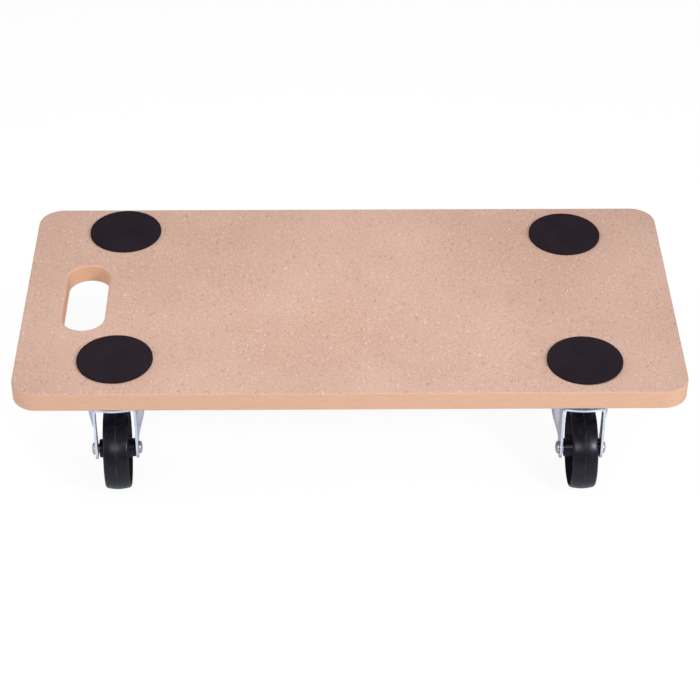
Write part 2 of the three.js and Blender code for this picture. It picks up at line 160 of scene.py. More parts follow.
# Mounting plate, whose middle is a dish with a flat floor and a sloping wall
PLATE_HALF = 0.031
PLATE_CORNER = 0.006
PLATE_BOTTOM = 0.093
DISH_DEPTH = 0.0014
DISH_FLOOR_MIDDLE = 0.010
DISH_FLOOR_RADIUS = 0.0165
DISH_WALL_WIDTH = 0.005

# Screws, each left at a turn of its own
SCREW_PLACE = 0.023
SCREW_HOLE_PLAY = 0.0006
SCREW_RADIUS = 0.0021
SCREW_HEAD_RADIUS = 0.0043
SCREW_HEAD_HEIGHT = 0.0024
SCREW_RIM = 0.0007
SCREW_EDGE = 0.0001
SCREW_LENGTH = 0.015
SCREW_POINT = 0.003
SCREW_TURN = 0.7
SCREW_TURN_PER_METRE = 10
RECESS_HALF = 0.0023
RECESS_WIDTH = 0.0009
RECESS_DEPTH = 0.0013
RECESS_TAPER = 0.6

# Power of the dome of rivet and screw heads: the lower, the fuller
DOME_POWER = 0.8

# Meshing: welding distance, and the angles from which an edge is rounded or sharp
WELD = 1e-7
ROUNDED_FROM = radians(50)
SHARP_FROM = radians(35)

# Camera
CAMERA_PLACE = (-0.0199, -1.5670, 1.2595)
CAMERA_PITCH_DOWN = 0.656597
CAMERA_YAW = -0.0134507
CAMERA_ROLL = 0.00391905
CAMERA_LENS_MM = 111.0
CAMERA_SENSOR_MM = 36

# Floor and room: what the surfaces mirror, and the white that the camera sees, with a
# shaded share that takes a faint shadow
FLOOR_HALF = 6
FLOOR_DROP = 0.0001
ROOM_COLOUR = (0.84, 0.90, 1.0)
ROOM_STRENGTH = 0.32
TABLE_COLOUR = (0.74, 0.75, 0.78)
TABLE_GLOW_COLOUR = (0.50, 0.72, 1.0)
TABLE_GLOW = 0.13
WHITE_SHADED = (0.12, 0.12, 0.12)
WHITE_GLOW = 0.92

# Lamps, in watts. The softboxes light the front and the deck, and the walls the sides
LIGHTS = (
    {"name": "left_softbox", "place": (-0.30, -1.50, 1.20), "target": (-0.05, 0, 0.1),
     "size": (0.62, 0.42), "power": 6.8, "colour": (0.98, 0.98, 1.0)},
    {"name": "right_softbox", "place": (1.16, -1.35, 1.20), "target": (0.05, 0, 0.1),
     "size": (0.28, 0.28), "power": 17, "colour": (0.98, 0.98, 1.0)},
    {"name": "top_softbox", "place": (-0.05, 0.0, 0.60), "target": (-0.05, 0.0, 0),
     "size": (0.66, 0.2), "power": 1.55, "colour": (1.0, 0.97, 0.94)},
    {"name": "left_wall", "place": (-1.30, -0.35, 0.55), "target": (0, -0.1, 0.1),
     "size": (1.1, 0.8), "power": 4.0, "colour": (0.92, 0.95, 1.0)},
    {"name": "right_wall", "place": (1.30, -0.35, 0.55), "target": (0, -0.1, 0.1),
     "size": (1.1, 0.8), "power": 2.5, "colour": (0.92, 0.95, 1.0)},
)

DECK_LOW, DECK_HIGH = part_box("deck")
JOINTS = {joint["name"]: joint for joint in frame["joints"]}
CASTERS = ("front_left", "front_right", "rear_left", "rear_right")


# ----------------------------------------------------------------------- outlines

def arc(x, y, radius, start, end, steps):
    """Points on a circle from one angle to another, both ends included."""
    turns = [start + (end - start) * i / steps for i in range(steps + 1)]
    return [(x + radius * cos(turn), y + radius * sin(turn)) for turn in turns]


def rounded_rectangle(half_x, half_y, radius, steps):
    """The outline anticlockwise from the corner at low x, low y."""
    corners = [(-1, -1, pi), (1, -1, 1.5 * pi), (1, 1, 0), (-1, 1, 0.5 * pi)]
    return [
        point
        for sx, sy, start in corners
        for point in arc(
            sx * (half_x - radius), sy * (half_y - radius), radius, start, start + pi / 2, steps
        )
    ]


def stadium(x, length, width, steps=28):
    """A slot along Y with round ends, centred at x."""
    radius = width / 2
    straight = length / 2 - radius
    return arc(x, straight, radius, 0, pi, steps) + arc(x, -straight, radius, pi, 2 * pi, steps)


def rounded(corners, steps=5):
    """A closed profile with each (r, z, fillet) corner rounded to its own radius."""
    count = len(corners)
    points = []
    for i, (r, z, fillet) in enumerate(corners):
        here = Vector((r, z))
        before = (Vector(corners[i - 1][:2]) - here).normalized()
        after = (Vector(corners[(i + 1) % count][:2]) - here).normalized()
        if fillet == 0:
            points.append(here)
            continue
        half = before.angle(after) / 2
        reach = fillet / tan(half)
        centre = here + (before + after).normalized() * (fillet / sin(half))
        first = here + before * reach - centre
        last = here + after * reach - centre
        turn = first.angle_signed(last)
        for k in range(steps + 1):
            spin = Matrix.Rotation(-turn * k / steps, 2)
            points.append(centre + spin @ first)
    return points


# ------------------------------------------------------------------------- meshes

def to_mesh(bm, name):
    """Welds the bmesh's points and gives it back as a smooth-shaded mesh."""
    bmesh.ops.remove_doubles(bm, verts=bm.verts, dist=WELD)
    mesh = bpy.data.meshes.new(name)
    bm.to_mesh(mesh)
    bm.free()
    mesh.shade_smooth()
    return mesh


def lathe(name, profile, segments=96):
    """A body of revolution about Z from a closed (r, z) profile."""
    bm = bmesh.new()
    rings = []
    for i in range(segments):
        turn = 2 * pi * i / segments
        rings.append([bm.verts.new((r * cos(turn), r * sin(turn), z)) for r, z in profile])
    for i in range(segments):
        here, there = rings[i], rings[(i + 1) % segments]
        for k in range(len(profile)):
            j = (k + 1) % len(profile)
            if profile[k][0] or profile[j][0]:
                bm.faces.new((here[k], there[k], there[j], here[j]))
    bmesh.ops.remove_doubles(bm, verts=bm.verts, dist=WELD)
    bmesh.ops.dissolve_degenerate(bm, dist=WELD, edges=bm.edges)
    bmesh.ops.recalc_face_normals(bm, faces=bm.faces)
    return to_mesh(bm, name)


def slab(name, outlines, levels):
    """A board with eased edges. outlines(inset) gives the outer loop and any holes,
    and levels are (inset, z) from the bottom face up to the top face."""
    bm = bmesh.new()
    stacks = []
    for inset, z in levels:
        stacks.append([[bm.verts.new((x, y, z)) for x, y in loop] for loop in outlines(inset)])
    for low, high in zip(stacks, stacks[1:]):
        for below, above in zip(low, high):
            for k in range(len(below)):
                j = (k + 1) % len(below)
                bm.faces.new((below[k], below[j], above[j], above[k]))
    for stack in (stacks[0], stacks[-1]):
        flat = [vert for loop in stack for vert in loop]
        for a, b, c in tessellate_polygon([[v.co for v in loop] for loop in stack]):
            bm.faces.new((flat[a], flat[b], flat[c]))
    bmesh.ops.recalc_face_normals(bm, faces=bm.faces)
    return to_mesh(bm, name)


def eased(low, high, ease, steps=4):
    """(inset, z) levels of a board whose two edges are quarter rounds."""
    lower = [
        (ease * (1 - cos(pi / 2 * k / steps)), low + ease * (1 - sin(pi / 2 * k / steps)))
        for k in range(steps, -1, -1)
    ]
    upper = [(inset, high + low - z) for inset, z in reversed(lower)]
    return lower + upper


def baked(mesh, *modifiers):
    """The mesh after (type, settings) modifiers, as a new mesh."""
    worker = bpy.data.objects.new("worker", mesh)
    bpy.context.collection.objects.link(worker)
    for kind, settings in modifiers:
        modifier = worker.modifiers.new(kind, kind)
        for key, value in settings.items():
            setattr(modifier, key, value)
    depsgraph = bpy.context.evaluated_depsgraph_get()
    result = bpy.data.meshes.new_from_object(worker.evaluated_get(depsgraph))
    bpy.data.objects.remove(worker)
    return result


def cut(mesh, *cutters):
    """The mesh with the cutter meshes taken out of it."""
    for cutter in cutters:
        tool = bpy.data.objects.new("cutter", cutter)
        bpy.context.collection.objects.link(tool)
        mesh = baked(mesh, ("BOOLEAN", {"operation": "DIFFERENCE", "object": tool}))
        bpy.data.objects.remove(tool)
    return mesh


def softened(mesh, width, segments=2):
    """Rounds sharp edges and keeps flat faces flat in the shading."""
    return baked(
        mesh,
        ("BEVEL", {"width": width, "segments": segments, "angle_limit": ROUNDED_FROM}),
        ("WEIGHTED_NORMAL", {}),
    )


def rod(radius, low, high, x=0.0, y=0.0):
    """An upright pin, used to drill with."""
    mesh = lathe("rod", [(0, low), (radius, low), (radius, high), (0, high)], segments=32)
    mesh.transform(Matrix.Translation((x, y, 0)))
    return mesh


ALONG_X = Matrix.Rotation(pi / 2, 4, "Y")


def on_axle(mesh):
    """Lays a body of revolution along X, with its middle on the axle."""
    mesh.transform(Matrix.Translation((0, -TRAIL, WHEEL_RADIUS)) @ ALONG_X)
    return mesh


# ----------------------------------------------------------------------- the fork

class Plan:
    """One side of the fork seen from above: a straight leg, a small hollow round and
    the crown's circle. Places are distances along it from the bridge's front corner."""

    def __init__(self):
        self.centre_x = FORK_HALF + CROWN_FILLET
        span = CROWN_RADIUS + CROWN_FILLET
        self.centre_y = -sqrt(span**2 - self.centre_x**2)
        self.turn = acos(self.centre_x / span)
        self.leg = self.centre_y + BRIDGE_REACH
        self.round = self.leg + CROWN_FILLET * self.turn
        self.length = self.round + CROWN_RADIUS * (pi / 2 + self.turn)

    def at(self, along):
        """The point and its outward direction."""
        if along <= self.leg:
            return Vector((FORK_HALF, along - BRIDGE_REACH)), Vector((1, 0))
        if along <= self.round:
            turn = (along - self.leg) / CROWN_FILLET
            outward = Vector((cos(turn), -sin(turn)))
            return Vector((self.centre_x, self.centre_y)) - outward * CROWN_FILLET, outward
        turn = (along - self.round) / CROWN_RADIUS - self.turn
        outward = Vector((cos(turn), sin(turn)))
        return outward * CROWN_RADIUS, outward

    def reaching(self, y):
        """How far along it reaches y."""
        if y <= self.centre_y:
            return y + BRIDGE_REACH
        if y <= -CROWN_RADIUS * sin(self.turn):
            return self.leg + CROWN_FILLET * asin((y - self.centre_y) / CROWN_FILLET)
        return self.round + CROWN_RADIUS * (asin(min(y / CROWN_RADIUS, 1)) + self.turn)


def wall_strips(plan):
    """Where each strip of the wall leaves the bend and where it ends: a distance along
    the plan for each, and the height of its foot. The cut edge runs round the axle
    lobe, up a hollow heel and in a straight line to the back of the crown."""
    lobe_steps, heel_steps, back_steps = 36, 8, 40
    axle_y, axle_z = -TRAIL, WHEEL_RADIUS
    lobe = arc(axle_y, axle_z, LOBE_RADIUS, pi, 2 * pi, lobe_steps)
    lobe = [(axle_y - LOBE_RADIUS, axle_z + LOBE_RADIUS / 3)] + lobe
    lobe_end = plan.reaching(axle_y + LOBE_RADIUS)
    made = [
        (lobe_end * k / (len(lobe) - 1), plan.reaching(y), z) for k, (y, z) in enumerate(lobe)
    ]
    start = Vector((axle_y + LOBE_RADIUS, axle_z))
    corner = Vector((axle_y + LOBE_RADIUS, axle_z + HEEL_CORNER))
    heel_y, heel_z = axle_y + HEEL_BACK, axle_z + HEEL_RISE
    heel = Vector((heel_y, heel_z))
    for k in range(1, heel_steps + 1):
        t = k / heel_steps
        y, z = start * (1 - t) ** 2 + corner * 2 * t * (1 - t) + heel * t**2
        made.append((plan.reaching(y), plan.reaching(y), z))
    heel_along = plan.reaching(heel_y)
    for k in range(1, back_steps + 1):
        along = heel_along + (plan.length - heel_along) * k / back_steps
        y = plan.at(along)[0].y
        made.append((along, along, heel_z + (y - heel_y) * REAR_SLOPE))
    return made


def smooth(value, low, high):
    """Eases from 0 at low to 1 at high."""
    t = min(max((value - low) / (high - low), 0), 1)
    return t * t * (3 - 2 * t)


def wall_point(plan, along, z):
    """A point on the wall's outside. Its flare opens from the leg to the crown."""
    point, _ = plan.at(along)
    beyond = max(point.x - FORK_HALF, 0)
    x = point.x - beyond * (1 - smooth(z, FLARE_LOW, FLARE_HIGH))
    return (x, point.y, z)


def fork_column(plan, top_along, foot_along, foot_z):
    """One strip of sheet from the bridge's rim, over the bend and down to the edge."""
    bend_steps, rows = 6, 18
    point, outward = plan.at(top_along)
    bend = BRIDGE_TOP - BEND_RADIUS
    column = []
    for k in range(bend_steps + 1):
        turn = pi / 2 * (1 - k / bend_steps)
        place = point - outward * BEND_RADIUS * (1 - cos(turn))
        column.append((place.x, place.y, bend + BEND_RADIUS * sin(turn)))
    for k in range(1, rows + 1):
        t = k / rows
        along = top_along + (foot_along - top_along) * t
        column.append(wall_point(plan, along, bend + (foot_z - bend) * t))
    return column


def fork_sheet():
    """The outside surface of the fork's sheet, thickened inwards and drilled."""
    front_steps, bridge_rings = 24, 5
    plan = Plan()
    right = [fork_column(plan, *strip) for strip in wall_strips(plan)]
    left = [[(-x, y, z) for x, y, z in column] for column in reversed(right[:-1])]
    walls = right + left
    flat_half = FORK_HALF - BEND_RADIUS
    front = []
    for k in range(1, front_steps):
        x = -flat_half + 2 * flat_half * k / front_steps
        bow = BRIDGE_BOW * (1 - (x / flat_half) ** 2)
        front.append([(x, -BRIDGE_REACH - bow, BRIDGE_TOP)])
    bm = bmesh.new()
    strips = []
    for column in walls + front:
        rim = Vector(column[0])
        turn = atan2(rim.y, rim.x)
        hole = Vector((BRIDGE_HOLE * cos(turn), BRIDGE_HOLE * sin(turn), BRIDGE_TOP))
        inner = [hole.lerp(rim, k / bridge_rings) for k in range(bridge_rings)]
        strips.append([bm.verts.new(place) for place in inner + column])
    for i, strip in enumerate(strips):
        following = strips[(i + 1) % len(strips)]
        for k in range(min(len(strip), len(following)) - 1):
            bm.faces.new((strip[k], strip[k + 1], following[k + 1], following[k]))
    mesh = to_mesh(bm, "fork_sheet")
    mesh = baked(mesh, ("SOLIDIFY", {"thickness": SHEET, "offset": -1, "use_even_offset": True}))
    drill = on_axle(rod(AXLE_RADIUS + GAP, -2 * FORK_HALF, 2 * FORK_HALF))
    return softened(cut(mesh, drill), FORK_EDGE, segments=4)


def fork_race():
    """The pressed ring on the crown: a floor under the upper balls and a lip round
    them. Its foot is buried in the bridge."""
    inner = RACE_LIP_RADIUS - SHEET
    under = BRIDGE_TOP - SHEET
    profile = rounded([
        (RACE_BORE, RACE_FLOOR - SHEET, SHEET_EDGE),
        (inner - RACE_STEP, RACE_FLOOR - SHEET, RACE_STEP_CORNER),
        (inner + RACE_STEP, under + FOOT_SINK, RACE_STEP),
        (RACE_LIP_RADIUS + FOOT_LOW_REACH, under + FOOT_SINK, 0),
        (RACE_LIP_RADIUS + FOOT_HIGH_REACH, BRIDGE_TOP - FOOT_SINK / 2, 0),
        (RACE_LIP_RADIUS, BRIDGE_TOP + FOOT_SINK, RACE_ROOT),
        (RACE_LIP_RADIUS, RACE_LIP_TOP, RACE_LIP_EDGE),
        (inner, RACE_LIP_TOP, RACE_LIP_EDGE),
        (inner, RACE_FLOOR, RACE_CORNER),
        (RACE_BORE, RACE_FLOOR, SHEET_EDGE),
    ])
    return lathe("fork_race", profile)


# ------------------------------------------------------- the rest of the caster

def wheel():
    """One moulding: crowned tread with a parting line, thin rims, dished sides, hub.
    The parting line's points carry the mark for the material to scrape."""
    crown_steps = 8
    tread = []
    half = TREAD_HALF - SHOULDER
    for k in range(-crown_steps, crown_steps + 1):
        along = half * k / crown_steps
        tread.append((WHEEL_RADIUS - TREAD_CROWN * (along / half) ** 2, along, 0))
    middle = len(tread) // 2
    ridge = [
        (WHEEL_RADIUS - PARTING_LINE, -PARTING_HALF, FINE_EDGE),
        (WHEEL_RADIUS, -PARTING_HALF / 3, PARTING_TOP_EDGE),
        (WHEEL_RADIUS, PARTING_HALF / 3, PARTING_TOP_EDGE),
        (WHEEL_RADIUS - PARTING_LINE, PARTING_HALF, FINE_EDGE),
    ]
    lowered = [(r - PARTING_LINE, along, fillet) for r, along, fillet in tread]
    tread = lowered[:middle] + ridge + lowered[middle + 1:]
    edge = WHEEL_RADIUS - TREAD_CROWN - PARTING_LINE
    rim_inner = WHEEL_RADIUS - RIM_THICKNESS
    side = [
        (edge, TREAD_HALF, SHOULDER),
        (rim_inner, TREAD_HALF, RIM_EDGE),
        (rim_inner - RIM_DRAFT, WEB_HALF, WEB_FILLET),
        (HUB_RADIUS + HUB_DRAFT, WEB_HALF, WEB_FILLET),
        (HUB_RADIUS, HUB_HALF, HUB_EDGE),
        (HUB_BORE, HUB_HALF, HUB_BORE_EDGE),
    ]
    mirrored = [(r, -along, fillet) for r, along, fillet in reversed(side)]
    mesh = lathe("wheel", rounded(mirrored + tread + side), segments=160)
    scraped = mesh.attributes.new(SCRAPED, "FLOAT", "POINT")
    for vert, mark in zip(mesh.vertices, scraped.data):
        mark.value = abs(vert.co.z) < PARTING_HALF and vert.co.xy.length > edge
    return on_axle(mesh)


def axle_sleeve():
    """The bright tube that the wheel runs on, from leg to leg inside the fork."""
    half = FORK_HALF - SHEET - GAP
    profile = rounded([
        (SLEEVE_BORE, -half, FINE_EDGE),
        (SLEEVE_RADIUS, -half, SHEET_EDGE),
        (SLEEVE_RADIUS, half, SHEET_EDGE),
        (SLEEVE_BORE, half, FINE_EDGE),
    ], steps=3)
    return on_axle(lathe("sleeve", profile, segments=64))


def dome(radius, height, steps=10):
    """Quarter of a rivet head's section, from its rim to its middle."""
    return [
        (radius * cos(pi / 2 * k / steps), height * sin(pi / 2 * k / steps) ** DOME_POWER)
        for k in range(steps)
    ] + [(0, height)]


def axle_rivet():
    """A shank with the same head at both ends: a short straight rim and a dome."""
    shoulder = FORK_HALF + GAP
    top = dome(RIVET_HEAD_RADIUS, RIVET_HEAD_HEIGHT - RIVET_RIM)
    head = [(RIVET_HEAD_RADIUS, shoulder)] + [(r, shoulder + RIVET_RIM + z) for r, z in top]
    profile = [(r, -z) for r, z in reversed(head)]
    profile += [(AXLE_RADIUS, -shoulder), (AXLE_RADIUS, shoulder)] + head
    return on_axle(lathe("rivet", profile, segments=64))


def kingpin():
    """The swivel's rivet: a flat head above the plate and a domed one under the cup."""
    top = PLATE_BOTTOM - DISH_DEPTH + SHEET + GAP
    underside = CUP_BOTTOM - GAP
    head = [(r, underside - z) for r, z in dome(PIN_LOWER_HEAD, PIN_LOWER_HEIGHT)]
    profile = list(reversed(head)) + [
        (PIN_RADIUS, underside),
        (PIN_RADIUS, top),
        (PIN_TOP_HEAD, top),
        (PIN_TOP_HEAD, top + PIN_TOP_HEIGHT - PIN_TOP_BEVEL),
        (PIN_TOP_HEAD - PIN_TOP_BEVEL, top + PIN_TOP_HEIGHT),
        (0, top + PIN_TOP_HEIGHT),
    ]
    return lathe("kingpin", profile, segments=64)


def race_cup():
    """The pressed cup that holds the lower balls up against the crown."""
    inner = CUP_RADIUS - CUP_SHEET
    return lathe("cup", rounded([
        (PIN_RADIUS + GAP, CUP_BOTTOM, FINE_EDGE),
        (CUP_RADIUS, CUP_BOTTOM, CUP_BEND),
        (CUP_RADIUS, CUP_RIM, CUP_RIM_EDGE),
        (inner, CUP_RIM, CUP_RIM_EDGE),
        (inner, CUP_BOTTOM + CUP_SHEET, CUP_INNER_BEND),
        (PIN_RADIUS + GAP, CUP_BOTTOM + CUP_SHEET, FINE_EDGE),
    ]))


def ball_ring(count, radius, circle, z):
    """Loose balls side by side on a circle."""
    bm = bmesh.new()
    for k in range(count):
        turn = 2 * pi * k / count
        place = Matrix.Translation((circle * cos(turn), circle * sin(turn), z))
        drawn = radius * BALL_SHARE
        bmesh.ops.create_icosphere(bm, subdivisions=3, radius=drawn, matrix=place)
    return to_mesh(bm, "balls")


def mounting_plate():
    """A rounded square of sheet whose middle is pressed down over the balls. A known
    fault: its faces wind downwards, so the sheet is added under PLATE_BOTTOM, 2 mm lower
    than the CAD plate. That leaves a gap to the board and cuts into the race ring's lip,
    the upper balls and the screw heads."""
    wall_steps, flat_steps = 8, 4
    outline = rounded_rectangle(PLATE_HALF, PLATE_HALF, PLATE_CORNER, steps=10)
    dish = PLATE_BOTTOM - DISH_DEPTH
    rings = [(PIN_RADIUS + GAP, dish), (DISH_FLOOR_MIDDLE, dish), (DISH_FLOOR_RADIUS, dish)]
    for k in range(1, wall_steps + 1):
        radius = DISH_FLOOR_RADIUS + DISH_WALL_WIDTH * k / wall_steps
        rings.append((radius, dish + DISH_DEPTH * smooth(k, 0, wall_steps)))
    bm = bmesh.new()
    loops = []
    for radius, z in rings:
        loops.append([
            bm.verts.new((radius * x / hypot(x, y), radius * y / hypot(x, y), z)) for x, y in outline
        ])
    flat = rings[-1][0]
    for k in range(1, flat_steps + 1):
        ring = []
        for x, y in outline:
            start = Vector((x, y)) * flat / hypot(x, y)
            place = start.lerp(Vector((x, y)), k / flat_steps)
            ring.append(bm.verts.new((*place, PLATE_BOTTOM)))
        loops.append(ring)
    for low, high in zip(loops, loops[1:]):
        for k in range(len(low)):
            j = (k + 1) % len(low)
            bm.faces.new((low[k], low[j], high[j], high[k]))
    mesh = baked(
        to_mesh(bm, "plate"),
        ("SOLIDIFY", {"thickness": SHEET, "offset": 1, "use_even_offset": True}),
    )
    holes = [
        rod(SCREW_RADIUS + SCREW_HOLE_PLAY, dish - SHEET, PLATE_BOTTOM + 2 * SHEET, x, y)
        for x in (-SCREW_PLACE, SCREW_PLACE)
        for y in (-SCREW_PLACE, SCREW_PLACE)
    ]
    return softened(cut(mesh, *holes), SHEET_EDGE)


def screw():
    """A pan head with a cross recess, on a plain pointed shank."""
    under = PLATE_BOTTOM - GAP
    tip = PLATE_BOTTOM + SCREW_LENGTH
    head = dome(SCREW_HEAD_RADIUS, SCREW_HEAD_HEIGHT - SCREW_RIM)
    profile = [(r, under - SCREW_RIM - z) for r, z in reversed(head)] + [
        (SCREW_HEAD_RADIUS, under),
        (SCREW_RADIUS, under),
        (SCREW_RADIUS, tip - SCREW_POINT),
        (0, tip),
    ]
    lowest = under - SCREW_HEAD_HEIGHT
    blades = []
    for long_x, long_y in ((RECESS_HALF, RECESS_WIDTH / 2), (RECESS_WIDTH / 2, RECESS_HALF)):
        bm = bmesh.new()
        half_size = Matrix.Diagonal((long_x, long_y, RECESS_DEPTH, 1))
        bmesh.ops.create_cube(bm, size=2, matrix=half_size)
        for vert in bm.verts:
            if vert.co.z > 0:
                vert.co.xy *= RECESS_TAPER
        bmesh.ops.translate(bm, verts=bm.verts, vec=(0, 0, lowest))
        blades.append(to_mesh(bm, "blade"))
    turned = lathe("screw", profile, segments=48)
    return softened(cut(turned, *blades), SCREW_EDGE, segments=1)


# ---------------------------------------------------------------------- materials

# The Mix node's colour sockets share their names with its others, so they go by place
MIX_FIRST, MIX_SECOND, MIX_RESULT = 6, 7, 2


class Surface:
    """A material whose nodes are added one by one. Coordinates are the object's own
    metres, so grain keeps its real size. The plain colour and roughness hold until a
    node is joined to them."""

    def __init__(self, name, base, roughness, metallic=0.0):
        self.material = bpy.data.materials.new(name)
        self.material.use_nodes = True
        self.tree = self.material.node_tree
        self.shader = self.tree.nodes["Principled BSDF"]
        self.set("Base Color", (*base, 1))
        self.set("Metallic", metallic)
        self.set("Roughness", roughness)
        self.place = self.add("ShaderNodeTexCoord").outputs["Object"]

    def set(self, socket, value):
        """A number or colour that is the same all over the surface."""
        self.shader.inputs[socket].default_value = value

    def add(self, kind, **settings):
        node = self.tree.nodes.new(kind)
        for key, value in settings.items():
            setattr(node, key, value)
        return node

    def join(self, source, target):
        self.tree.links.new(source, target)

    def scaled(self, x, y, z):
        """Coordinates stretched along the axes, for streaks."""
        node = self.add("ShaderNodeMapping")
        node.inputs["Scale"].default_value = (x, y, z)
        self.join(self.place, node.inputs["Vector"])
        return node.outputs["Vector"]

    def noise(self, scale, detail=4.0, roughness=0.55, where=None, distortion=0.0):
        node = self.add("ShaderNodeTexNoise")
        node.inputs["Scale"].default_value = scale
        node.inputs["Detail"].default_value = detail
        node.inputs["Roughness"].default_value = roughness
        node.inputs["Distortion"].default_value = distortion
        self.join(where or self.place, node.inputs["Vector"])
        return node.outputs["Fac"]

    def spread(self, value, low, high, to_low=0.0, to_high=1.0):
        """Maps low..high to another range, and holds at its ends."""
        node = self.add("ShaderNodeMapRange")
        for key, number in zip(
            ("From Min", "From Max", "To Min", "To Max"), (low, high, to_low, to_high)
        ):
            node.inputs[key].default_value = number
        self.join(value, node.inputs["Value"])
        return node.outputs["Result"]

    def math(self, operation, *values):
        node = self.add("ShaderNodeMath", operation=operation)
        for socket, value in zip(node.inputs, values):
            if isinstance(value, (int, float)):
                socket.default_value = value
            else:
                self.join(value, socket)
        return node.outputs["Value"]

    def blend(self, share, first, second):
        """Mixes two colours, each a tuple or a socket."""
        node = self.add("ShaderNodeMix", data_type="RGBA")
        self.join(share, node.inputs["Factor"])
        for place, value in ((MIX_FIRST, first), (MIX_SECOND, second)):
            if isinstance(value, tuple):
                node.inputs[place].default_value = (*value, 1)
            else:
                self.join(value, node.inputs[place])
        return node.outputs[MIX_RESULT]

    def facing(self, axis):
        """How squarely the surface faces along an axis of the object, from 0 to 1."""
        split = self.add("ShaderNodeSeparateXYZ")
        self.join(self.add("ShaderNodeTexCoord").outputs["Normal"], split.inputs["Vector"])
        return self.math("ABSOLUTE", split.outputs[axis])

    def colour(self, value):
        self.join(value, self.shader.inputs["Base Color"])

    def roughness(self, value):
        self.join(value, self.shader.inputs["Roughness"])

    def bump(self, height, depth, strength=1.0):
        node = self.add("ShaderNodeBump")
        node.inputs["Distance"].default_value = depth
        node.inputs["Strength"].default_value = strength
        self.join(height, node.inputs["Height"])
        self.join(node.outputs["Normal"], self.shader.inputs["Normal"])


def make_mdf():
    """Raw fibreboard: a sanded face with fine pale and dark fibres, and sawn edges
    that are warmer and coarser, and also painted lighter than the face: painted light from the
    front."""
    face_dark, face_pale = (0.58, 0.356, 0.264), (0.66, 0.420, 0.322)
    pale_fibre, dark_speck = (0.80, 0.60, 0.50), (0.36, 0.20, 0.14)
    pale_fleck, dark_fleck = (0.84, 0.66, 0.56), (0.33, 0.19, 0.14)
    # The edge colours are warmer than the face, which is real, and also lighter, which is painted
    # light on the sawn edges
    painted_lit_edge_dark, painted_lit_edge_pale, edge_pit = (0.765, 0.430, 0.262), (0.815, 0.487, 0.318), (0.50, 0.29, 0.18)
    s = Surface("mdf", (0.6, 0.4, 0.3), roughness=0.78)
    face = s.blend(s.spread(s.noise(7, detail=3), 0.35, 0.65), face_dark, face_pale)
    fibres = s.noise(760, 3, 0.7, where=s.scaled(1, 0.6, 1), distortion=0.4)
    face = s.blend(s.spread(fibres, 0.50, 0.72, 0, 0.62), face, pale_fibre)
    specks = s.noise(900, 2, 0.6, where=s.scaled(0.7, 1, 1), distortion=0.6)
    face = s.blend(s.spread(specks, 0.55, 0.72, 0, 0.62), face, dark_speck)
    flecks = s.noise(430, 2, 0.6, where=s.scaled(1, 0.5, 1), distortion=0.5)
    face = s.blend(s.spread(flecks, 0.62, 0.74, 0, 0.6), face, pale_fleck)
    face = s.blend(s.spread(flecks, 0.38, 0.27, 0, 0.6), face, dark_fleck)
    streaks = s.noise(160, 4, 0.6, where=s.scaled(0.35, 0.35, 5))
    edge = s.blend(s.spread(streaks, 0.3, 0.7), painted_lit_edge_dark, painted_lit_edge_pale)
    coarse = s.noise(900, 3, 0.6, where=s.scaled(0.5, 0.5, 1.4))
    edge = s.blend(s.spread(coarse, 0.5, 0.75, 0, 0.4), edge, edge_pit)
    # Faces that don't point up take the edge colours, so the board's sides carry the painted light
    flatness = s.spread(s.facing("Z"), 0.5, 0.9)
    s.colour(s.blend(flatness, edge, face))
    s.roughness(s.spread(fibres, 0.3, 0.7, 0.70, 0.86))
    s.bump(s.math("ADD", fibres, s.math("MULTIPLY", coarse, 0.6)), 0.00006, 0.5)
    return s.material


def make_rubber():
    """Matte black rubber sheet with a fine grain and pale dust in it."""
    black, worn, dust = (0.0135, 0.0085, 0.0125), (0.020, 0.0135, 0.019), (0.050, 0.038, 0.047)
    s = Surface("pad_rubber", (0.018, 0.012, 0.017), roughness=0.9)
    s.set("Specular IOR Level", 0.12)
    grain = s.noise(1400, 3, 0.7)
    cloud = s.noise(38, 4, 0.6)
    body = s.blend(s.spread(cloud, 0.3, 0.7), black, worn)
    s.colour(s.blend(s.spread(grain, 0.58, 0.78, 0, 0.5), body, dust))
    s.roughness(s.spread(cloud, 0.3, 0.7, 0.80, 0.94))
    s.bump(grain, 0.00008, 0.6)
    return s.material


def make_zinc():
    """Bright zinc on pressed sheet: faint blue clouds, rolling lines and rub marks."""
    blue, bright = (0.67, 0.75, 0.88), (0.91, 0.92, 0.93)
    s = Surface("zinc_sheet", (0.78, 0.80, 0.83), metallic=1.0, roughness=0.25)
    cloud = s.noise(42, 3, 0.55)
    s.colour(s.blend(s.spread(cloud, 0.38, 0.62), blue, bright))
    rolling = s.noise(700, 2, 0.5, where=s.scaled(1, 1, 0.06))
    rub = s.noise(210, 5, 0.7, distortion=1.2)
    wear = s.math("ADD", s.math("MULTIPLY", rolling, 0.4), rub)
    s.roughness(s.spread(wear, 0.4, 1.0, 0.16, 0.36))
    s.bump(s.math("ADD", rolling, rub), 0.000012, 0.5)
    return s.material


def make_steel(name, base, roughness, mark_scale):
    """Plain bright steel with small knocks and a slightly uneven polish."""
    s = Surface(name, base, metallic=1.0, roughness=roughness)
    marks = s.noise(mark_scale, 4, 0.65, distortion=0.8)
    knocked = tuple(value * 0.78 for value in base)
    s.colour(s.blend(s.spread(marks, 0.35, 0.7), base, knocked))
    s.roughness(s.spread(marks, 0.3, 0.7, roughness * 0.75, roughness * 1.3))
    s.bump(marks, 0.00002, 0.4)
    return s.material


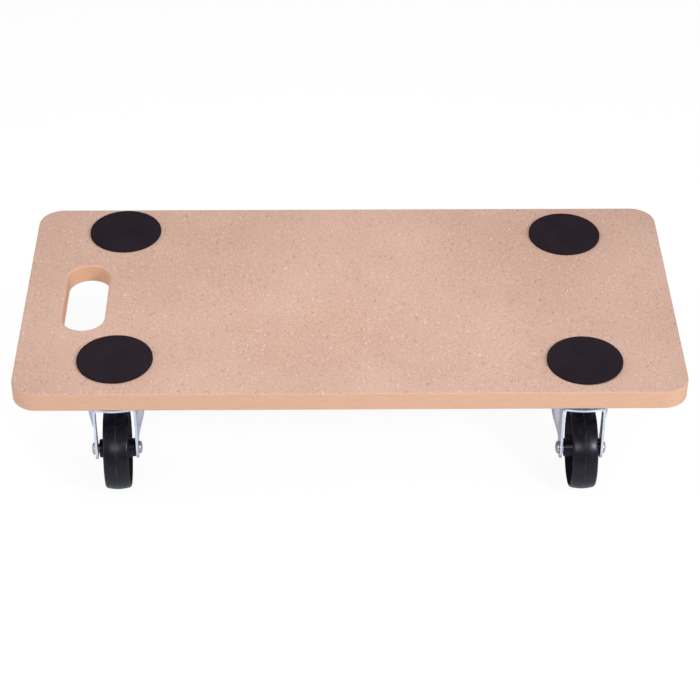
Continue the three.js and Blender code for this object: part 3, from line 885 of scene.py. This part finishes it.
def make_wheel_plastic():
    """Glossy black moulding with scuffs that dull it, scraped here and there along the
    parting line."""
    black, scuffed, bare = (0.0045, 0.0035, 0.0075), (0.0105, 0.0085, 0.0155), (0.050, 0.045, 0.056)
    s = Surface("wheel_plastic", (0.012, 0.010, 0.014), roughness=0.3)
    s.set("Specular IOR Level", 0.32)
    s.set("Specular Tint", (0.93, 0.87, 1.0, 1))
    scuff = s.noise(130, 5, 0.65, distortion=0.7)
    fine = s.noise(1500, 2, 0.5)
    body = s.blend(s.spread(scuff, 0.45, 0.75), black, scuffed)
    ridge = s.add("ShaderNodeAttribute", attribute_name=SCRAPED).outputs["Fac"]
    worn = s.math("MULTIPLY", ridge, s.spread(s.noise(95, detail=3), 0.42, 0.68))
    s.colour(s.blend(worn, body, bare))
    s.roughness(s.spread(scuff, 0.3, 0.75, 0.24, 0.40))
    s.bump(s.math("ADD", scuff, s.math("MULTIPLY", fine, 0.25)), 0.00003, 0.35)
    return s.material


MATERIALS = {
    "mdf": make_mdf(),
    "pad_rubber": make_rubber(),
    "zinc_sheet": make_zinc(),
    "rivet_steel": make_steel("rivet_steel", (0.60, 0.60, 0.61), 0.36, 420),
    "screw_steel": make_steel("screw_steel", (0.66, 0.66, 0.64), 0.32, 500),
    "ball_steel": make_steel("ball_steel", (0.72, 0.72, 0.73), 0.12, 300),
    "wheel_plastic": make_wheel_plastic(),
}


# ----------------------------------------------------------------------- assembly

def piece(name, mesh, body, slot, *nodes):
    """A finished piece that rides on a body and stands for CAD nodes."""
    obj = bpy.data.objects.new(name, mesh)
    bpy.context.collection.objects.link(obj)
    mesh.materials.clear()
    mesh.materials.append(MATERIALS[slot])
    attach(obj, body)
    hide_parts(*nodes)


def sharpened(mesh):
    """Keeps a turned part's corners crisp in the shading."""
    mesh.set_sharp_from_angle(angle=SHARP_FROM)
    return mesh


def deck():
    """The board, as wide and long as its CAD box, with the hand slot near one end."""
    half = (DECK_HIGH - DECK_LOW) / 2
    slot_x = DECK_LOW.x + SLOT_END_WEB + SLOT_WIDTH / 2

    def outlines(inset):
        radius = DECK_CORNER_RADIUS - inset
        outer = rounded_rectangle(half.x - inset, half.y - inset, radius, steps=16)
        wider = 2 * inset * SLOT_EASE_SHARE
        slot = stadium(slot_x, SLOT_LENGTH + wider, SLOT_WIDTH + wider)
        return outer, slot

    board = slab("deck_board", outlines, eased(DECK_LOW.z, DECK_HIGH.z, DECK_EDGE_EASE))
    board = baked(board, ("WEIGHTED_NORMAL", {}))
    piece("deck_board", board, "deck_assembly", "mdf", "deck")


def pad(name):
    """One anti-slip disc, in its CAD box."""
    low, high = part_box(name)
    centre = (low + high) / 2
    radius = (high.x - low.x) / 2
    profile = rounded([
        (0, low.z + PAD_LIFT, 0),
        (radius, low.z + PAD_LIFT, PAD_EDGE),
        (radius, high.z, PAD_EDGE),
        (0, high.z, 0),
    ])
    disc = lathe("disc", profile, segments=128)
    disc.transform(Matrix.Translation((centre.x, centre.y, 0)))
    piece(f"{name}_disc", baked(disc, ("WEIGHTED_NORMAL", {})), "deck_assembly", "pad_rubber", name)


def caster(name, parts):
    """Places one caster: its axis and heading are the frame's joints."""
    pin = JOINTS[f"{name}_swivel_turn"]["pos_m"]
    axle = JOINTS[f"{name}_wheel_spin"]["axis"]
    fixed = Matrix.Translation((pin[0], pin[1], 0))
    turned = fixed @ Matrix.Rotation(atan2(axle[1], axle[0]), 4, "Z")
    low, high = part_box(f"{name}_wheel")
    hub = turned.inverted() @ ((low + high) / 2)
    rolling = turned @ Matrix.Translation((hub.x, 0, 0))
    swivel = f"{name}_swivel"
    race = f"{name}_ball_race"
    for piece_name, part, place, body, slot, node in (
        ("mounting_plate_pressing", "plate", fixed, "deck_assembly", "zinc_sheet", "mounting_plate"),
        ("kingpin_rivet", "kingpin", fixed, "deck_assembly", "rivet_steel", "kingpin"),
        ("race_cup_pressing", "cup", fixed, "deck_assembly", "zinc_sheet", "race_cup"),
        ("fork_pressing", "fork", turned, swivel, "zinc_sheet", "fork"),
        ("fork_race_ring", "race", turned, swivel, "zinc_sheet", "fork"),
        ("axle_rivet_turned", "rivet", turned, swivel, "rivet_steel", "axle_rivet"),
        ("axle_sleeve_tube", "sleeve", turned, swivel, "rivet_steel", "axle_sleeve"),
        ("upper_ball_set", "upper", turned, race, "ball_steel", "upper_balls"),
        ("lower_ball_set", "lower", turned, race, "ball_steel", "lower_balls"),
        ("wheel_moulding", "wheel", rolling, f"{name}_roller", "wheel_plastic", "wheel"),
    ):
        mesh = parts[part].copy()
        mesh.transform(place)
        piece(f"{name}_{piece_name}", mesh, body, slot, f"{name}_{node}")
    corners = ((-1, -1), (1, -1), (1, 1), (-1, 1))
    for index, (side_x, side_y) in enumerate(corners, 1):
        mesh = parts["screw"].copy()
        spin = Matrix.Rotation(SCREW_TURN * index + pin[0] * SCREW_TURN_PER_METRE, 4, "Z")
        there = Matrix.Translation((side_x * SCREW_PLACE, side_y * SCREW_PLACE, 0))
        mesh.transform(fixed @ there @ spin)
        node = f"{name}_screw_{index}"
        piece(f"{node}_pan_head", mesh, "deck_assembly", "screw_steel", node)


deck()
for corner in CASTERS:
    pad(f"pad_{corner}")
PARTS = {
    "plate": mounting_plate(),
    "kingpin": sharpened(kingpin()),
    "cup": sharpened(race_cup()),
    "fork": fork_sheet(),
    "race": sharpened(fork_race()),
    "rivet": sharpened(axle_rivet()),
    "sleeve": sharpened(axle_sleeve()),
    "upper": ball_ring(**UPPER_BALLS),
    "lower": ball_ring(**LOWER_BALLS),
    "wheel": sharpened(wheel()),
    "screw": screw(),
}
for corner in CASTERS:
    caster(corner, PARTS)


# --------------------------------------------------- floor, light and the camera

def seen_white(tree, lit, white, output):
    """Shows plain white to the camera and the lit shader to everything else, as a cut-out
    product picture has it, so that metal and gloss still mirror a real table."""
    mix = tree.nodes.new("ShaderNodeMixShader")
    seen = tree.nodes.new("ShaderNodeLightPath").outputs["Is Camera Ray"]
    tree.links.new(seen, mix.inputs["Fac"])
    tree.links.new(lit, mix.inputs[1])
    tree.links.new(white, mix.inputs[2])
    tree.links.new(mix.outputs["Shader"], output)


def floor():
    """A table that glows faintly blue, which the zinc and the gloss of the wheels mirror."""
    bm = bmesh.new()
    bmesh.ops.create_grid(bm, x_segments=1, y_segments=1, size=FLOOR_HALF)
    obj = bpy.data.objects.new("floor", to_mesh(bm, "floor"))
    obj.location.z = -FLOOR_DROP
    bpy.context.collection.objects.link(obj)
    s = Surface("floor_pale", TABLE_COLOUR, roughness=0.5)
    s.set("Emission Color", (*TABLE_GLOW_COLOUR, 1))
    s.set("Emission Strength", TABLE_GLOW)
    white = s.add("ShaderNodeBsdfPrincipled")
    white.inputs["Base Color"].default_value = (*WHITE_SHADED, 1)
    white.inputs["Specular IOR Level"].default_value = 0
    white.inputs["Emission Color"].default_value = (1, 1, 1, 1)
    white.inputs["Emission Strength"].default_value = WHITE_GLOW
    output = s.tree.nodes["Material Output"].inputs["Surface"]
    seen_white(s.tree, s.shader.outputs["BSDF"], white.outputs["BSDF"], output)
    obj.data.materials.append(s.material)


def area_light(name, place, target, size, power, colour):
    """A soft lamp that shows in reflections but not to the camera."""
    light = bpy.data.lights.new(name, "AREA")
    light.shape = "RECTANGLE"
    light.size, light.size_y = size
    light.energy = power
    light.color = colour
    obj = bpy.data.objects.new(name, light)
    obj.location = place
    aim = Vector(target) - Vector(place)
    obj.rotation_euler = aim.to_track_quat("-Z", "Y").to_euler()
    obj.visible_camera = False
    bpy.context.collection.objects.link(obj)


def room():
    """The pale room around the table, and its lamps."""
    world = bpy.data.worlds.new("room")
    world.use_nodes = True
    tree = world.node_tree
    lit = tree.nodes["Background"]
    lit.inputs["Color"].default_value = (*ROOM_COLOUR, 1)
    lit.inputs["Strength"].default_value = ROOM_STRENGTH
    white = tree.nodes.new("ShaderNodeBackground")
    white.inputs["Color"].default_value = (1, 1, 1, 1)
    output = tree.nodes["World Output"].inputs["Surface"]
    seen_white(tree, lit.outputs["Background"], white.outputs["Background"], output)
    bpy.context.scene.world = world
    for light in LIGHTS:
        area_light(**light)
    bpy.context.scene.view_settings.view_transform = "Standard"


def camera():
    """Looks down on the long side of the deck. Roll turns about the line of sight."""
    data = bpy.data.cameras.new("camera")
    data.lens = CAMERA_LENS_MM
    data.sensor_width = CAMERA_SENSOR_MM
    data.sensor_fit = "HORIZONTAL"
    obj = bpy.data.objects.new("camera", data)
    level = Matrix.Rotation(CAMERA_YAW, 4, "Z") @ Matrix.Rotation(pi / 2 - CAMERA_PITCH_DOWN, 4, "X")
    obj.matrix_world = (
        Matrix.Translation(CAMERA_PLACE) @ level @ Matrix.Rotation(CAMERA_ROLL, 4, "Z")
    )
    bpy.context.collection.objects.link(obj)
    bpy.context.scene.camera = obj


floor()
room()
camera()

bpy.context.view_layer.update()
